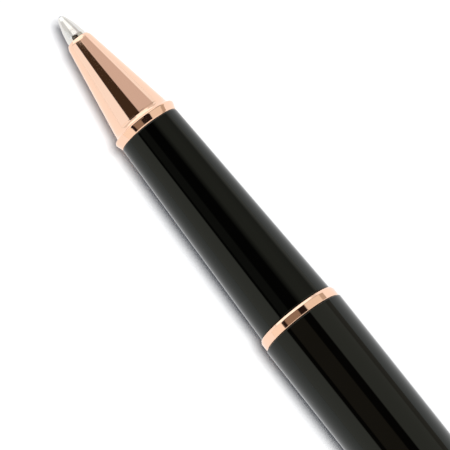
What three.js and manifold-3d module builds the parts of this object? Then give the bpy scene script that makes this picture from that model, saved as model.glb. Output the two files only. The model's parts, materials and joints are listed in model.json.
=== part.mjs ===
// Rollerball pen, lying on its side with the cap posted on its tail. Millimetres, +Z up.
//
// The pen's axis runs along +X, from the writing point to the top of the cap. A place along the pen
// is a station: its distance from the writing point. Places in the cap are measured from its mouth.
// The origin is on the surface that the pen lies on, under the middle of its length.

import * as THREE from "three";
import { mergeVertices } from "three/addons/utils/BufferGeometryUtils.js";
import Module from "manifold-3d";

const wasm = await Module();
wasm.setup();

// ---------- Driving dimensions ----------

// Stations of the body
const NOSE_FRONT = 4; // where the metal point leaves the nose cone
const NOSE_FLARE = 17.35; // the straight cone ends and its flare begins
const NOSE_LIP = 18.35; // widest edge of the flare
const NOSE_REAR = 19.45;
const NOSE_TUBE_REAR = 24; // the nose's shank inside the section
const SECTION_REAR = 50.8;
const RING_REAR = 52.4;
const TAPER_START = 74; // the barrel is straight in front of this
const BARREL_REAR = 112;
const TAIL_SHANK_FRONT = 106.5; // the tail plug's shank inside the barrel
const TAIL_FRONT = 113;
const TAIL_BORE_END = 119.6;
const TAIL_END = 122;

// Radii of the body
const NOSE_BORE = 1.53;
const NOSE_BEVEL_RADIUS = 1.83;
const NOSE_FLARE_RADIUS = 4.05;
const NOSE_LIP_RADIUS = 4.72;
const SECTION_FRONT_RADIUS = 4.45;
const SECTION_REAR_RADIUS = 5.62;
const SECTION_BORE = 3.9;
const RING_RADIUS = 5.98;
const BARREL_RADIUS = 6.1;
const BARREL_REAR_RADIUS = 4.82;
const TAIL_RADIUS = 4.76;
const TAIL_FLAT_RADIUS = 2.4;
const TAIL_BORE = 3.3;
const BARREL_BORE = 4.6; // behind the screw joint

// Cap
const CAP_MOUTH = 84; // station of the mouth while the cap is posted
const CAP_LENGTH = 68;
const BAND_FRONT = 0.6;
const BAND_END = 5.6;
const BAND_RADIUS = 7.45;
const SLEEVE_RADIUS = 6.85; // the part of the shell that goes through the band
const CAP_RADIUS = 7.3;
const CAP_TOP_RADIUS = 6.2;
const CAP_BORE = 6.3;
const SHELL_END = 59.6;
const CLUTCH_FRONT = 5.5;
const CLUTCH_HOOP = 10.5; // the fingers end and the closed hoop begins
const CLUTCH_REAR = 12.5;
const CLUTCH_GRIP = 5.8; // bore of the fingers' bumps
const CLUTCH_BORE = 6;
const CLUTCH_SLOT = 0.8;
const LINER_FRONT = 28;
const LINER_REAR = 56.9;
const LINER_BORE = 5;
const LINER_RADIUS = 5.5;
const COLLAR_END = 60.75;
const COLLAR_RADIUS = 6.45;
const FINIAL_RADIUS = 6.15;
const FINIAL_FLAT_RADIUS = 3;
const FINIAL_BORE_END = 64.8;
const SCREW_RADIUS = 1.5;
const SCREW_BORE = 1.6;
const SCREW_END = 64.5;
const SCREW_HEAD_RADIUS = 2.8;
const SCREW_HEAD_REAR = 58.15;
const SCREW_SLOT = 0.7;

// Clip: heights are above the pen's axis
const CLIP_FOOT = 22.5;
const CLIP_FOOT_HEIGHT = 7.27; // underside of the foot, just clear of the cap
const CLIP_ROOT_HEIGHT = 7.7;
const CLIP_TOP = 9.1;
const CLIP_THICKNESS = 0.9;
const CLIP_ROOT_WIDTH = 3.8;
const CLIP_FOOT_WIDTH = 2.4;
const CLIP_TAPER_LENGTH = 3; // in front of the root the width stays full for this long
const LUG_WIDTH = 3.6;
const LUG_BOTTOM = 5;

// Refill
const BALL_RADIUS = 0.35;
const POINT_RADIUS = 1.4;
const POINT_FRONT = 0.18; // the rim that holds the ball
const POINT_SHOULDER = 8;
const POINT_REAR = 11;
const SHANK_RADIUS = 1;
const CHANNEL_RADIUS = 0.16;
const HOLDER_FRONT = 8.05;
const HOLDER_NECK_REAR = 12.65;
const HOLDER_NECK_RADIUS = 1.65;
const HOLDER_SHOULDER = 14;
const HOLDER_PLUG = 20;
const HOLDER_REAR = 23;
const REFILL_RADIUS = 3;
const REFILL_BORE = 2.75;
const PLUG_RADIUS = 2.68; // of both plugs in the refill's tube
const CORE_RADIUS = 2.65;
const CORE_REAR = 104.9;
const REFILL_PLUG_FRONT = 105;
const REFILL_TUBE_REAR = 107;
const REFILL_END = 110.4;
const FEED_RADIUS = 0.5;
const FEED_BORE = 0.6;
const REFILL_CLEARANCE = 0.15; // between the refill and the nose around it

// Spring behind the refill, and the spigots that it stands on
const SPRING = { wire: 0.225, radius: 2.3, turns: 6, from: 110.7, to: 117.7 };
const SPIGOT = { frontRadius: 1.75, rearRadius: 1.85, onRefill: 1.8, onSeat: 1.2 };
const SEAT_FRONT = 118;
const SEAT_REAR = 119.5;

// Screw joint between section and barrel: a right-hand round thread
const THREAD = { pitch: 1.25, root: 4, ridge: 0.42, from: 55, to: 60, clearance: 0.13 };
const INSERT_MINOR = 4.2;
const SLEEVE_FRONT = 25;
const SLEEVE_REAR = 60.4;
const SLEEVE_BORE = 3.2;
const JOURNAL_RADIUS = 4.42; // the sleeve where the centre ring sits
const INSERT_RADIUS = 5.3;
const INSERT_REAR = 60.9;
const COUNTERBORE = 4.75;
const SEAL = { station: 53.6, radius: 4.15, cord: 0.4, groove: 1, grooveRadius: 3.7 };

// Fits
const SEAM = 0.05; // gap between stacked faces
const FIT = 0.05; // radial gap between a pressed piece and its seat
const RING_CLEARANCE = 0.08; // between the centre ring and the sleeve that turns in it
const BEVEL = { length: 0.12, drop: 0.06 }; // of the edges at a seam

// Roundness: sides of a turned piece, always a multiple of four
const SIDES = 24;
const SMALL_SIDES = 16;

const PEN_LENGTH = CAP_MOUTH + CAP_LENGTH;
const AXIS_HEIGHT = BAND_RADIUS * Math.cos(Math.PI / SIDES);

// ---------- Materials ----------

const finish = (color, roughness, metalness) => () =>
  new THREE.MeshStandardMaterial({ color, roughness, metalness });

const roseGold = finish(0xeebb9c, 0.08, 1);
const blackResin = finish(0x0b0b0b, 0.08, 0);
const steel = finish(0xc8c6c0, 0.2, 1);
const carbide = finish(0x6d6d70, 0.15, 1);
const brass = finish(0xc9a24f, 0.3, 1);
const darkPlastic = finish(0x1d1d1f, 0.45, 0);
const palePlastic = finish(0xe4e2dc, 0.5, 0);
const inkFibre = finish(0x15182a, 0.9, 0);
const rubber = finish(0x101010, 0.8, 0);

// ---------- Outlines ----------
// An outline is a list of [station, radius] points. Outsides and insides both run from front to rear.

function curve(from, to, steps, radiusAt) {
  return Array.from({ length: steps + 1 }, (_, i) => {
    const station = from + ((to - from) * i) / steps;
    return [station, radiusAt(station)];
  });
}

// A quarter ellipse that starts along the axis at one radius and ends across it at another.
function quarter(from, to, startRadius, endRadius, steps) {
  return Array.from({ length: steps + 1 }, (_, i) => {
    const angle = ((Math.PI / 2) * i) / steps;
    const station = from + (to - from) * Math.sin(angle);
    return [station, endRadius + (startRadius - endRadius) * Math.cos(angle)];
  });
}

function barrelRadius(station) {
  const share = (station - TAPER_START) / (BARREL_REAR - TAPER_START);
  return BARREL_RADIUS - (BARREL_RADIUS - BARREL_REAR_RADIUS) * share ** 1.5;
}

function capRadius(place) {
  const share = (place - BAND_END) / (SHELL_END - BAND_END);
  return CAP_RADIUS - (CAP_RADIUS - CAP_TOP_RADIUS) * share ** 2;
}

// A straight stretch of one radius.
const along = (from, to, radius) => [
  [from, radius],
  [to, radius],
];

// ---------- Solids ----------

function lathe(outline, sides) {
  const points = outline.map(([station, radius]) => new THREE.Vector2(radius, station));
  const geometry = new THREE.LatheGeometry(points, sides, Math.PI / sides);
  return geometry.rotateZ(-Math.PI / 2); // the turning axis becomes +X
}

const turned = (outside, inside, sides = SIDES) =>
  lathe([...outside, ...inside.toReversed(), outside[0]], sides);

const rod = (outside, sides = SIDES) =>
  lathe([[outside[0][0], 0], ...outside, [outside.at(-1)[0], 0]], sides);

function box(low, high) {
  const size = high.map((value, i) => value - low[i]);
  const middle = high.map((value, i) => (value + low[i]) / 2);
  return new THREE.BoxGeometry(...size).translate(...middle);
}

class Helix extends THREE.Curve {
  constructor(radius, pitch, from, to) {
    super();
    Object.assign(this, { radius, pitch, from, to });
  }

  getPoint(share) {
    const station = this.from + (this.to - this.from) * share;
    const angle = (2 * Math.PI * station) / this.pitch;
    return new THREE.Vector3(station, this.radius * Math.cos(angle), this.radius * Math.sin(angle));
  }
}

// A round wire along a helix. The helix is right-handed along +X.
function coil(wire, radius, pitch, from, to, stepsPerTurn = 16, sides = 6) {
  const section = Array.from({ length: sides }, (_, i) => {
    const angle = (2 * Math.PI * i) / sides;
    return new THREE.Vector2(wire * Math.cos(angle), wire * Math.sin(angle));
  });
  return new THREE.ExtrudeGeometry(new THREE.Shape(section), {
    steps: Math.ceil(((to - from) / pitch) * stepsPerTurn),
    extrudePath: new Helix(radius, pitch, from, to),
    bevelEnabled: false,
  });
}

function solid(geometry) {
  const position = geometry.getAttribute("position");
  const bare = new THREE.BufferGeometry().setAttribute("position", position).setIndex(geometry.index);
  const merged = mergeVertices(bare, 1e-4);
  const triangles = [];
  for (let i = 0; i < merged.index.count; i += 3) {
    const corners = [0, 1, 2].map((corner) => merged.index.getX(i + corner));
    if (new Set(corners).size === 3) triangles.push(...corners);
  }
  return new wasm.Manifold(
    new wasm.Mesh({
      numProp: 3,
      vertProperties: new Float32Array(merged.getAttribute("position").array),
      triVerts: new Uint32Array(triangles),
    }),
  );
}

function geometryOf(manifold) {
  const mesh = manifold.getMesh();
  const geometry = new THREE.BufferGeometry();
  geometry.setAttribute("position", new THREE.BufferAttribute(mesh.vertProperties, 3));
  geometry.setIndex(new THREE.BufferAttribute(mesh.triVerts, 1));
  geometry.computeVertexNormals();
  return geometry;
}

// ---------- Refill ----------

function writingBall() {
  return new THREE.SphereGeometry(BALL_RADIUS, 16, 10).translate(BALL_RADIUS, 0, 0);
}

function writingPoint() {
  const rimToShoulder = [
    [POINT_FRONT, 0.37],
    [0.27, 0.46],
    [0.8, 0.7],
    [2.1, 1.13],
    [3.5, POINT_RADIUS],
    [POINT_SHOULDER, POINT_RADIUS],
  ];
  const outside = [...rimToShoulder, ...along(POINT_SHOULDER, POINT_REAR, SHANK_RADIUS)];
  const socket = [
    [POINT_FRONT, 0.33],
    [BALL_RADIUS, 0.385],
    [0.62, 0.27],
    [0.72, CHANNEL_RADIUS],
    [POINT_SHOULDER - 0.1, CHANNEL_RADIUS],
  ];
  const inside = [...socket, ...along(POINT_SHOULDER, POINT_REAR, FEED_RADIUS + 0.08)];
  return turned(outside, inside, SMALL_SIDES);
}

function pointHolder() {
  const seatRear = POINT_REAR + 0.1;
  const outside = [
    ...along(HOLDER_FRONT, HOLDER_NECK_REAR, HOLDER_NECK_RADIUS),
    [HOLDER_SHOULDER - 0.25, REFILL_RADIUS - 0.2],
    ...along(HOLDER_SHOULDER, HOLDER_PLUG, REFILL_RADIUS),
    ...along(HOLDER_PLUG, HOLDER_REAR, PLUG_RADIUS),
  ];
  const inside = [
    ...along(HOLDER_FRONT, seatRear, SHANK_RADIUS + FIT),
    ...along(seatRear, HOLDER_REAR, FEED_BORE),
  ];
  return turned(outside, inside);
}

function inkFeed() {
  return rod(along(POINT_SHOULDER + 0.1, HOLDER_REAR, FEED_RADIUS), SMALL_SIDES);
}

function inkCore() {
  return rod(along(HOLDER_REAR + SEAM, CORE_REAR, CORE_RADIUS));
}

function refillTube() {
  const front = HOLDER_PLUG + SEAM;
  const outside = along(front, REFILL_TUBE_REAR, REFILL_RADIUS);
  const inside = along(front, REFILL_TUBE_REAR, REFILL_BORE);
  return turned(outside, inside);
}

function refillPlug() {
  const flangeFront = REFILL_TUBE_REAR + SEAM;
  return rod([
    ...along(REFILL_PLUG_FRONT, flangeFront, PLUG_RADIUS),
    ...along(flangeFront, REFILL_END, REFILL_RADIUS),
    [REFILL_END, SPIGOT.rearRadius],
    [REFILL_END + SPIGOT.onRefill, SPIGOT.frontRadius],
  ]);
}

// ---------- Section ----------

function noseCone() {
  const outside = [
    [NOSE_FRONT, NOSE_BORE + 0.08],
    [NOSE_FRONT + 0.4, NOSE_BEVEL_RADIUS],
    ...quarter(NOSE_FLARE, NOSE_LIP, NOSE_FLARE_RADIUS, NOSE_LIP_RADIUS, 4),
    [NOSE_LIP + 0.2, NOSE_LIP_RADIUS],
    [NOSE_REAR - BEVEL.length, SECTION_FRONT_RADIUS],
    [NOSE_REAR, SECTION_FRONT_RADIUS - BEVEL.drop],
    ...along(NOSE_REAR, NOSE_TUBE_REAR, SECTION_BORE - FIT),
  ];
  const neck = HOLDER_NECK_RADIUS + REFILL_CLEARANCE;
  const inside = [
    ...along(NOSE_FRONT, HOLDER_FRONT - 0.35, NOSE_BORE),
    ...along(HOLDER_FRONT - 0.1, HOLDER_NECK_REAR - SEAM, neck),
    [HOLDER_SHOULDER - 0.4, REFILL_RADIUS - REFILL_CLEARANCE],
    ...along(HOLDER_SHOULDER, NOSE_TUBE_REAR, REFILL_RADIUS + REFILL_CLEARANCE),
  ];
  return turned(outside, inside);
}

function sectionShell() {
  const front = NOSE_REAR + SEAM;
  const outside = [
    [front, SECTION_FRONT_RADIUS - BEVEL.drop],
    [front + BEVEL.length, SECTION_FRONT_RADIUS],
    [SECTION_REAR - BEVEL.length, SECTION_REAR_RADIUS],
    [SECTION_REAR, SECTION_REAR_RADIUS - BEVEL.drop],
  ];
  return turned(outside, along(front, SECTION_REAR, SECTION_BORE));
}

function sectionSleeve() {
  const { from, to, root, ridge, pitch } = THREAD;
  const journalFront = SECTION_REAR + SEAM;
  const journalRear = RING_REAR + 0.3;
  const grooveFront = SEAL.station - SEAL.groove / 2;
  const grooveRear = SEAL.station + SEAL.groove / 2;
  const chamfer = 0.2;
  const outside = [
    ...along(SLEEVE_FRONT, journalFront, SECTION_BORE - FIT),
    ...along(journalFront, journalRear, JOURNAL_RADIUS),
    ...along(journalRear, grooveFront, root),
    ...along(grooveFront, grooveRear, SEAL.grooveRadius),
    ...along(grooveRear, SLEEVE_REAR - chamfer, root),
    [SLEEVE_REAR, root - chamfer],
  ];
  const body = solid(turned(outside, along(SLEEVE_FRONT, SLEEVE_REAR, SLEEVE_BORE)));
  const longRidge = solid(coil(ridge, root, pitch, from - pitch, to + pitch));
  const threaded = turned(along(from, to, root + 2 * ridge), along(from, to, root - ridge / 2));
  return geometryOf(body.add(longRidge.intersect(solid(threaded))));
}

function sealingRing() {
  const ring = new THREE.TorusGeometry(SEAL.radius, SEAL.cord, 8, SIDES);
  return ring.rotateY(Math.PI / 2).translate(SEAL.station, 0, 0);
}

function centreRing() {
  const front = SECTION_REAR + SEAM;
  const frontBevel = 0.4;
  const rearBevel = 0.17;
  const outside = [
    [front, SECTION_REAR_RADIUS + 0.02],
    [front + frontBevel, RING_RADIUS],
    [RING_REAR - rearBevel, RING_RADIUS],
    [RING_REAR, RING_RADIUS - 0.14],
  ];
  return turned(outside, along(front, RING_REAR, JOURNAL_RADIUS + RING_CLEARANCE));
}

// ---------- Barrel ----------

function barrelShell() {
  const front = RING_REAR + SEAM;
  const seatRear = INSERT_REAR + SEAM;
  const outside = [
    [front, BARREL_RADIUS - BEVEL.drop],
    [front + BEVEL.length, BARREL_RADIUS],
    ...curve(TAPER_START, BARREL_REAR, 6, barrelRadius),
  ];
  const inside = [
    ...along(front, seatRear, INSERT_RADIUS + FIT),
    [seatRear, BARREL_BORE + 0.3],
    [86, BARREL_BORE],
    ...along(TAIL_SHANK_FRONT - 2.5, BARREL_REAR, SECTION_BORE),
  ];
  return turned(outside, inside);
}

function threadInsert() {
  const { from, root, ridge, clearance, pitch } = THREAD;
  const front = RING_REAR + 2 * SEAM;
  const counterboreRear = from - 0.1;
  const inside = [
    ...along(front, counterboreRear, COUNTERBORE),
    ...along(counterboreRear, INSERT_REAR, INSERT_MINOR),
  ];
  const body = solid(turned(along(front, INSERT_REAR, INSERT_RADIUS), inside));
  const groove = coil(ridge + clearance, root, pitch, from - 2 * pitch, INSERT_REAR + pitch);
  return geometryOf(body.subtract(solid(groove)));
}

function tailRing() {
  const front = BARREL_REAR + SEAM;
  const rear = TAIL_FRONT - SEAM;
  const outside = [
    [front, BARREL_REAR_RADIUS],
    [front + BEVEL.length, BARREL_REAR_RADIUS + 0.08],
    [rear - BEVEL.length, BARREL_REAR_RADIUS + 0.05],
    [rear, TAIL_RADIUS],
  ];
  return turned(outside, along(front, rear, SECTION_BORE));
}

function tailPlug() {
  const outside = [
    ...along(TAIL_SHANK_FRONT, TAIL_FRONT, SECTION_BORE - FIT),
    ...quarter(TAIL_FRONT, TAIL_END, TAIL_RADIUS, TAIL_FLAT_RADIUS, 6),
    [TAIL_END, 0],
  ];
  const inside = [...along(TAIL_SHANK_FRONT, TAIL_BORE_END, TAIL_BORE), [TAIL_BORE_END, 0]];
  return turned(outside, inside);
}

function springSeat() {
  return rod([
    [SEAT_FRONT - SPIGOT.onSeat, SPIGOT.frontRadius],
    [SEAT_FRONT, SPIGOT.rearRadius],
    ...along(SEAT_FRONT, SEAT_REAR, TAIL_BORE - 2 * FIT),
  ]);
}

function refillSpring() {
  const { wire, radius, turns, from, to } = SPRING;
  return coil(wire, radius, (to - from) / turns, from, to);
}

// ---------- Cap, measured from its mouth ----------

function capShell() {
  const lip = 0.2;
  const lipDrop = 0.15;
  const shellFront = BAND_END + SEAM;
  const outside = [
    [0, SLEEVE_RADIUS - lipDrop],
    ...along(lip, shellFront, SLEEVE_RADIUS),
    [shellFront, CAP_RADIUS - BEVEL.drop],
    ...curve(shellFront + BEVEL.length, SHELL_END, 6, capRadius),
  ];
  const linerSeat = LINER_FRONT - 0.5;
  const headSeat = LINER_REAR + SEAM;
  const headPocket = SCREW_HEAD_REAR + SEAM;
  const inside = [
    [0, CAP_BORE + lipDrop],
    ...along(lip, linerSeat, CAP_BORE),
    ...along(linerSeat, headSeat, LINER_RADIUS + FIT),
    ...along(headSeat, headPocket, SCREW_HEAD_RADIUS + 0.3),
    ...along(headPocket, SHELL_END, SCREW_BORE),
  ];
  return turned(outside, inside);
}

function capBand() {
  const bevel = { length: 0.3, drop: 0.2 };
  const outside = [
    [BAND_FRONT, BAND_RADIUS - bevel.drop],
    ...along(BAND_FRONT + bevel.length, BAND_END - bevel.length, BAND_RADIUS),
    [BAND_END, BAND_RADIUS - bevel.drop],
  ];
  return turned(outside, along(BAND_FRONT, BAND_END, SLEEVE_RADIUS + FIT));
}

function innerCap() {
  const end = 0.8; // thickness of the closed end, and length of the mouth's flare
  const outside = [...along(LINER_FRONT, LINER_REAR, LINER_RADIUS), [LINER_REAR, 0]];
  const inside = [
    [LINER_FRONT, LINER_BORE + 0.2],
    ...along(LINER_FRONT + end, LINER_REAR - end, LINER_BORE),
    [LINER_REAR - end, 0],
  ];
  return turned(outside, inside);
}

// A ring with four springy fingers that reach towards the mouth, each with a bump near its end.
function capClutch() {
  const lead = CLUTCH_GRIP + 0.12;
  const outside = [
    [CLUTCH_FRONT, CAP_BORE - 0.25],
    ...along(CLUTCH_HOOP, CLUTCH_REAR, CAP_BORE - FIT),
  ];
  const inside = [
    [CLUTCH_FRONT, lead],
    [CLUTCH_FRONT + 1, CLUTCH_GRIP],
    [CLUTCH_FRONT + 2, lead],
    ...along(CLUTCH_HOOP, CLUTCH_REAR, CLUTCH_BORE),
  ];
  const ring = solid(turned(outside, inside));
  const front = CLUTCH_FRONT - 1;
  const rear = CLUTCH_HOOP + 0.2;
  const wide = CAP_BORE + 1;
  const narrow = CLUTCH_SLOT / 2;
  const acrossY = solid(box([front, -wide, -narrow], [rear, wide, narrow]));
  const acrossZ = solid(box([front, -narrow, -wide], [rear, narrow, wide]));
  return geometryOf(ring.subtract(acrossY).subtract(acrossZ));
}

// A washer between the shell and the finial, with a lug that carries the clip.
function clipCollar() {
  const front = SHELL_END + SEAM;
  const bevel = 0.15;
  const outside = [
    [front, COLLAR_RADIUS - bevel],
    ...along(front + bevel, COLLAR_END - bevel, COLLAR_RADIUS),
    [COLLAR_END, COLLAR_RADIUS - bevel],
  ];
  const washer = solid(turned(outside, along(front, COLLAR_END, SCREW_BORE)));
  const half = LUG_WIDTH / 2;
  const lugTop = CLIP_ROOT_HEIGHT - 0.1;
  const lug = solid(box([front, -half, LUG_BOTTOM], [COLLAR_END, half, lugTop]));
  return geometryOf(washer.add(lug));
}

// The clip's side view is cut to its view from above.
function clip() {
  const root = SHELL_END + SEAM;
  const under = CLIP_TOP - CLIP_THICKNESS;
  const side = new THREE.Shape();
  side.moveTo(root, CLIP_ROOT_HEIGHT);
  side.lineTo(COLLAR_END, CLIP_ROOT_HEIGHT);
  side.lineTo(COLLAR_END, CLIP_TOP - 0.7);
  side.quadraticCurveTo(COLLAR_END, CLIP_TOP, COLLAR_END - 0.8, CLIP_TOP);
  side.lineTo(CLIP_FOOT + 6, CLIP_TOP - 0.15);
  side.quadraticCurveTo(CLIP_FOOT + 3, CLIP_TOP - 0.2, CLIP_FOOT + 0.8, CLIP_TOP - 0.4);
  side.quadraticCurveTo(CLIP_FOOT, CLIP_TOP - 0.6, CLIP_FOOT, CLIP_TOP - 1);
  side.quadraticCurveTo(CLIP_FOOT + 0.4, CLIP_FOOT_HEIGHT, CLIP_FOOT + 2, CLIP_FOOT_HEIGHT);
  side.quadraticCurveTo(CLIP_FOOT + 3.6, CLIP_FOOT_HEIGHT, CLIP_FOOT + 5.5, under - 0.15);
  side.lineTo(root - 0.6, under);
  side.quadraticCurveTo(root, under, root, CLIP_ROOT_HEIGHT);
  const slab = new THREE.ExtrudeGeometry(side, { depth: 6, curveSegments: 3, bevelEnabled: false });
  slab.rotateX(Math.PI / 2).translate(0, 3, 0);

  const half = CLIP_ROOT_WIDTH / 2;
  const halfFoot = CLIP_FOOT_WIDTH / 2;
  const top = new THREE.Shape();
  const fullWidthFront = root - CLIP_TAPER_LENGTH;
  top.moveTo(COLLAR_END + 1, half);
  top.lineTo(fullWidthFront, half);
  top.lineTo(CLIP_FOOT + halfFoot, halfFoot);
  top.absarc(CLIP_FOOT + halfFoot, 0, halfFoot, Math.PI / 2, 1.5 * Math.PI);
  top.lineTo(fullWidthFront, -half);
  top.lineTo(COLLAR_END + 1, -half);
  const plan = new THREE.ExtrudeGeometry(top, { depth: 4, curveSegments: 4, bevelEnabled: false });
  plan.translate(0, 0, 6);
  return geometryOf(solid(slab).intersect(solid(plan)));
}

function finial() {
  const front = COLLAR_END + SEAM;
  const outside = [
    [front, FINIAL_RADIUS],
    ...quarter(front + 0.4, CAP_LENGTH, FINIAL_RADIUS, FINIAL_FLAT_RADIUS, 6),
    [CAP_LENGTH, 0],
  ];
  const inside = [...along(front, FINIAL_BORE_END, SCREW_BORE), [FINIAL_BORE_END, 0]];
  return turned(outside, inside);
}

function finialScrew() {
  const headFront = LINER_REAR + 2 * SEAM;
  const bevel = 0.2;
  const outside = [
    [headFront, SCREW_HEAD_RADIUS - bevel],
    ...along(headFront + bevel, SCREW_HEAD_REAR, SCREW_HEAD_RADIUS),
    ...along(SCREW_HEAD_REAR, SCREW_END, SCREW_RADIUS),
  ];
  const half = SCREW_SLOT / 2;
  const reach = SCREW_HEAD_RADIUS + 1;
  const slot = solid(box([headFront - 1, -half, -reach], [headFront + 0.5, half, reach]));
  return geometryOf(solid(rod(outside)).subtract(slot));
}

// ---------- The pen ----------

function assemble(pieces) {
  const group = new THREE.Group();
  for (const [name, geometry, newMaterial] of pieces) {
    const mesh = new THREE.Mesh(geometry, newMaterial());
    mesh.name = name;
    group.add(mesh);
  }
  return group;
}

const body = assemble([
  ["writing_ball", writingBall(), carbide],
  ["writing_point", writingPoint(), steel],
  ["point_holder", pointHolder(), darkPlastic],
  ["ink_feed", inkFeed(), inkFibre],
  ["ink_core", inkCore(), inkFibre],
  ["refill_tube", refillTube(), steel],
  ["refill_plug", refillPlug(), palePlastic],
  ["nose_cone", noseCone(), roseGold],
  ["section_shell", sectionShell(), blackResin],
  ["section_sleeve", sectionSleeve(), brass],
  ["sealing_ring", sealingRing(), rubber],
  ["centre_ring", centreRing(), roseGold],
  ["barrel_shell", barrelShell(), blackResin],
  ["barrel_thread_insert", threadInsert(), brass],
  ["tail_ring", tailRing(), roseGold],
  ["tail_plug", tailPlug(), blackResin],
  ["spring_seat", springSeat(), brass],
  ["refill_spring", refillSpring(), steel],
]);

const cap = assemble([
  ["cap_shell", capShell(), blackResin],
  ["cap_band", capBand(), roseGold],
  ["inner_cap", innerCap(), darkPlastic],
  ["cap_clutch", capClutch(), steel],
  ["clip_collar", clipCollar(), roseGold],
  ["clip", clip(), roseGold],
  ["finial", finial(), blackResin],
  ["finial_screw", finialScrew(), steel],
]);
cap.position.x = CAP_MOUTH;

const pen = new THREE.Group().add(body, cap);
pen.position.set(-PEN_LENGTH / 2, 0, AXIS_HEIGHT);

export default pen;
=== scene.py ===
"""Rollerball pen: the visual model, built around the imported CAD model, and a plain studio for it.

Outlines are in millimetres. A station is the distance from the writing point along the pen, and a
place in the cap is measured from the cap's mouth. Meshes are in metres, in the frame of the CAD model.
"""

import json
import math

import bmesh
import bpy
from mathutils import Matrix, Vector


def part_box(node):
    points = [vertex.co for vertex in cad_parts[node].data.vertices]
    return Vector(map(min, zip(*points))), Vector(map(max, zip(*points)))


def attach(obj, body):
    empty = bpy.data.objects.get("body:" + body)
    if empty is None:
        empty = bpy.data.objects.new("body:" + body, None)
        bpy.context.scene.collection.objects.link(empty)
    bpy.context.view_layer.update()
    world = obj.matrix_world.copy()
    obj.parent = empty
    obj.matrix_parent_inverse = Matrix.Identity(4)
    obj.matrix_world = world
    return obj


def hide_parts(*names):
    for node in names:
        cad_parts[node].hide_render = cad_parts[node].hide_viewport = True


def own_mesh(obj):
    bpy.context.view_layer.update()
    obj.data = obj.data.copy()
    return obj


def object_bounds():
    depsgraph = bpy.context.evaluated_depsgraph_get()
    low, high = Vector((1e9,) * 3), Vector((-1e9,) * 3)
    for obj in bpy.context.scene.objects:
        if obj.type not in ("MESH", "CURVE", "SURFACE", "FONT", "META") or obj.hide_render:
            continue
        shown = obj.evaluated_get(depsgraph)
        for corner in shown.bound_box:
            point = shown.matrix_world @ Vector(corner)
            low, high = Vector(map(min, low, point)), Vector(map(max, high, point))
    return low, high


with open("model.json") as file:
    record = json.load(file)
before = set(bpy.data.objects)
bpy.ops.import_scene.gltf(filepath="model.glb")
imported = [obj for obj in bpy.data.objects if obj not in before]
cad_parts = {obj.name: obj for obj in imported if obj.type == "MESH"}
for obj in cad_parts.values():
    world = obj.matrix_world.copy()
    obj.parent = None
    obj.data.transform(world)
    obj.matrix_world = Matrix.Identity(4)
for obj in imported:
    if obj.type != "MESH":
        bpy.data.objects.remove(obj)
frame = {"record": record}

CAD_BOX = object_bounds()
MM = 0.001

# ---------- What the frame gives ----------

NODE_BODY = {
    node: body
    for body, nodes in frame["record"]["behaviour"]["bodies"].items()
    for node in nodes
}
NODE_SLOT = {part["node"]: part["material_slot"] for part in frame["record"]["subparts"]}


def ends(node):
    """Front and rear station of a CAD node."""
    low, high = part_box(node)
    return (low.x - TIP) / MM, (high.x - TIP) / MM


TIP = CAD_BOX[0].x
RING_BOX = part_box("centre_ring")
AXIS_HEIGHT = (RING_BOX[0].z + RING_BOX[1].z) / 2
CAP_MOUTH = ends("cap_shell")[0]

# ---------- Roundness ----------

SEGMENTS = 192
HIDDEN_SEGMENTS = 96
CURVE_STEPS = 24
FILLET_STEPS = 5
FILLET_SHARE = 0.3  # of a side, at most, that one fillet takes
GUARD_POINT = 1.5  # place of the point beside a fillet, in lengths of its cut
SHARP_ANGLE = math.radians(35)


# ---------- Outlines ----------


def rounded(corners):
    """A closed outline from (station, radius, fillet) corners, with each corner rounded.

    A point is added on each side of a fillet, so that the shading of the long faces stays flat."""
    outline = []
    count = len(corners)
    for i, (station, radius, fillet) in enumerate(corners):
        here = Vector((station, radius))
        before = Vector(corners[i - 1][:2]) - here
        after = Vector(corners[(i + 1) % count][:2]) - here
        cut = min(fillet, FILLET_SHARE * before.length, FILLET_SHARE * after.length)
        if cut <= 0:
            outline.append(tuple(here))
            continue
        start = here + before.normalized() * cut
        end = here + after.normalized() * cut
        outline.append(tuple(here + before.normalized() * GUARD_POINT * cut))
        for step in range(FILLET_STEPS + 1):
            share = step / FILLET_STEPS
            outline.append(tuple(start.lerp(here, share).lerp(here.lerp(end, share), share)))
        outline.append(tuple(here + after.normalized() * GUARD_POINT * cut))
    return outline


def smooth(points):
    """Corners without fillets, for a stretch that is already a fine curve."""
    return [(station, radius, 0) for station, radius in points]


def curve(start, end, steps, radius_at):
    places = [start + (end - start) * i / steps for i in range(steps + 1)]
    return smooth((place, radius_at(place)) for place in places)


def quarter(start, end, start_radius, end_radius):
    """A quarter ellipse that starts along the axis and ends across it."""
    angles = [math.pi / 2 * i / CURVE_STEPS for i in range(CURVE_STEPS + 1)]
    return smooth(
        (start + (end - start) * math.sin(a), end_radius + (start_radius - end_radius) * math.cos(a))
        for a in angles
    )


def tube(outside, inside):
    """The outline of a hollow piece. Both sides run from front to rear."""
    return outside + inside[::-1]


def rod(outside):
    front = (outside[0][0], 0, 0)
    rear = (outside[-1][0], 0, 0)
    return [front, *outside, rear]


# ---------- Meshes ----------


def place(station, radius, angle):
    """A point of the frame, in metres. The angle is counted from +Y towards +Z."""
    return (
        TIP + station * MM,
        radius * math.cos(angle) * MM,
        AXIS_HEIGHT + radius * math.sin(angle) * MM,
    )


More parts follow.
